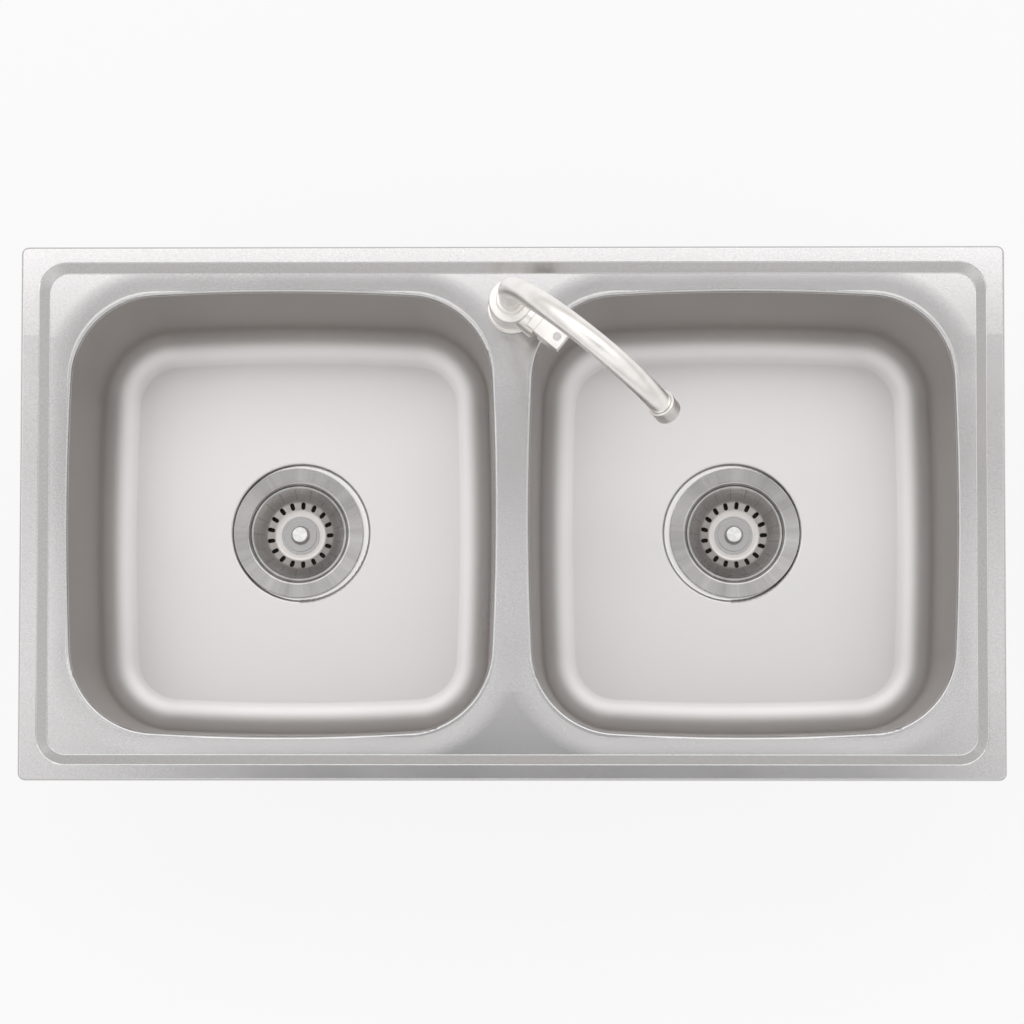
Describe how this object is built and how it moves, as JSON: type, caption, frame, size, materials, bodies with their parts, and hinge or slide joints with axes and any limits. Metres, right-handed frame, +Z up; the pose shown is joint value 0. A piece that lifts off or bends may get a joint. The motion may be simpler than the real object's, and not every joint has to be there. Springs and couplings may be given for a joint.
{
  "type": "double bowl kitchen sink",
  "caption": "Inset stainless steel sink with two bowls side by side, basket strainers and a single lever mixer tap with a swivel spout.",
  "frame": {"origin": "middle of the worktop cut-out, on the worktop's top face, where the rim's foam strip rests", "axes": "+X along the sink to the right bowl, +Y to the rear where the tap stands, +Z up"},
  "size_m": [0.8, 0.435, 0.407],
  "materials": {
    "sink_steel": "satin",
    "strainer_steel": "polished",
    "tap_chrome": "polished",
    "fixing_steel": "plain",
    "fixing_brass": "machined",
    "black_rubber": "matt",
    "grey_foam": "matt",
    "pad_bitumen": "matt",
    "white_plastic": "matt",
    "grey_plastic": "matt",
    "button_plastic": "gloss"
  },
  "bodies": {
    "sink_body": {"left_deck": "sink_steel", "right_deck": "sink_steel", "rim_gasket": "grey_foam", "clip_brackets": "fixing_steel", "clip_hooks": "fixing_steel", "clip_screws": "fixing_steel", "left_bowl": "sink_steel", "left_sound_pad": "pad_bitumen", "left_strainer_cup": "strainer_steel", "left_cup_seal": "black_rubber", "left_under_gasket": "black_rubber", "left_waste_body": "white_plastic", "left_centre_screw": "fixing_steel", "right_bowl": "sink_steel", "right_sound_pad": "pad_bitumen", "right_strainer_cup": "strainer_steel", "right_cup_seal": "black_rubber", "right_under_gasket": "black_rubber", "right_waste_body": "white_plastic", "right_centre_screw": "fixing_steel", "tap_base_seal": "black_rubber", "tap_base_ring": "tap_chrome", "tap_body": "tap_chrome", "tap_shank": "fixing_brass", "tap_rubber_washer": "black_rubber", "tap_steel_washer": "fixing_steel", "tap_back_nut": "fixing_brass", "spout_nut": "tap_chrome", "cartridge_housing": "white_plastic", "cartridge_nut": "fixing_brass"},
    "spout": {"spout_tube": "tap_chrome", "spout_bush": "white_plastic", "spout_o_rings": "black_rubber", "spout_end_collar": "tap_chrome", "aerator_housing": "tap_chrome", "aerator_insert": "grey_plastic"},
    "lever_turner": {"stem_carrier": "white_plastic", "lever_pivot_pin": "fixing_steel"},
    "lever_arm": {"lever": "tap_chrome", "lever_stem": "fixing_steel", "lever_index_button": "button_plastic", "lever_grub_screw": "fixing_steel"},
    "left_basket_set": {"left_basket": "strainer_steel", "left_basket_seal": "black_rubber", "left_basket_knob": "strainer_steel"},
    "right_basket_set": {"right_basket": "strainer_steel", "right_basket_seal": "black_rubber", "right_basket_knob": "strainer_steel"}
  },
  "joints": [
    {"name": "spout_swivel", "type": "hinge", "parent": "sink_body", "child": "spout", "pos_m": [0, 0.167, 0.03], "axis": [0, 0, 1], "continuous": true},
    {"name": "lever_turn", "type": "hinge", "parent": "sink_body", "child": "lever_turner", "pos_m": [0, 0.167, 0.027], "axis": [0.7771, -0.6293, 0], "range_deg": [-45, 45]},
    {"name": "lever_lift", "type": "hinge", "parent": "lever_turner", "child": "lever_arm", "pos_m": [0.01671, 0.15347, 0.027], "axis": [-0.6293, -0.7771, 0], "range_deg": [0, 20]},
    {"name": "left_basket_lift", "type": "slide", "parent": "sink_body", "child": "left_basket_set", "axis": [0, 0, 1], "range_m": [0, 0.2]},
    {"name": "right_basket_lift", "type": "slide", "parent": "sink_body", "child": "right_basket_set", "axis": [0, 0, 1], "range_m": [0, 0.2]}
  ]
}
